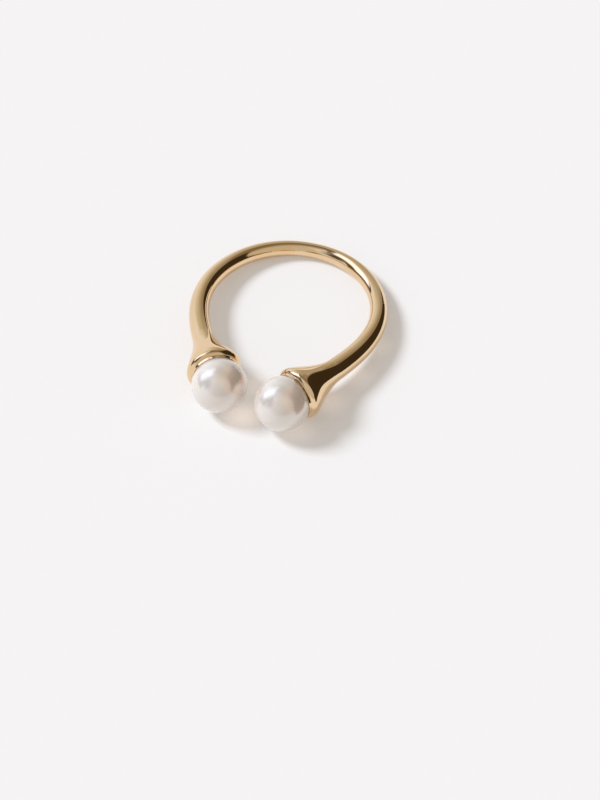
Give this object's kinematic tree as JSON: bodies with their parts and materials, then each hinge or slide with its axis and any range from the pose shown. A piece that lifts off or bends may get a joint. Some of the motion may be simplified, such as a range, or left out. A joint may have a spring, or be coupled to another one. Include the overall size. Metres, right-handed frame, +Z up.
{
  "type": "open cuff ring",
  "caption": "Polished yellow gold open cuff ring for a finger, its rounded band thickening towards flared end cups that each hold a white pearl.",
  "frame": {"origin": "on the ground under the middle of the outline, with the ring lying on its side as it rests by itself", "axes": "+Z up, +Y towards the back of the band, -Y towards the pearls and the gap, +X to the right pearl's side"},
  "size_m": [0.0214, 0.0272, 0.0061],
  "materials": {
    "gold": "polished",
    "pearl": "gloss"
  },
  "bodies": {
    "root": {"band": "gold", "pearl_left": "pearl", "pearl_right": "pearl"}
  },
  "joints": []
}
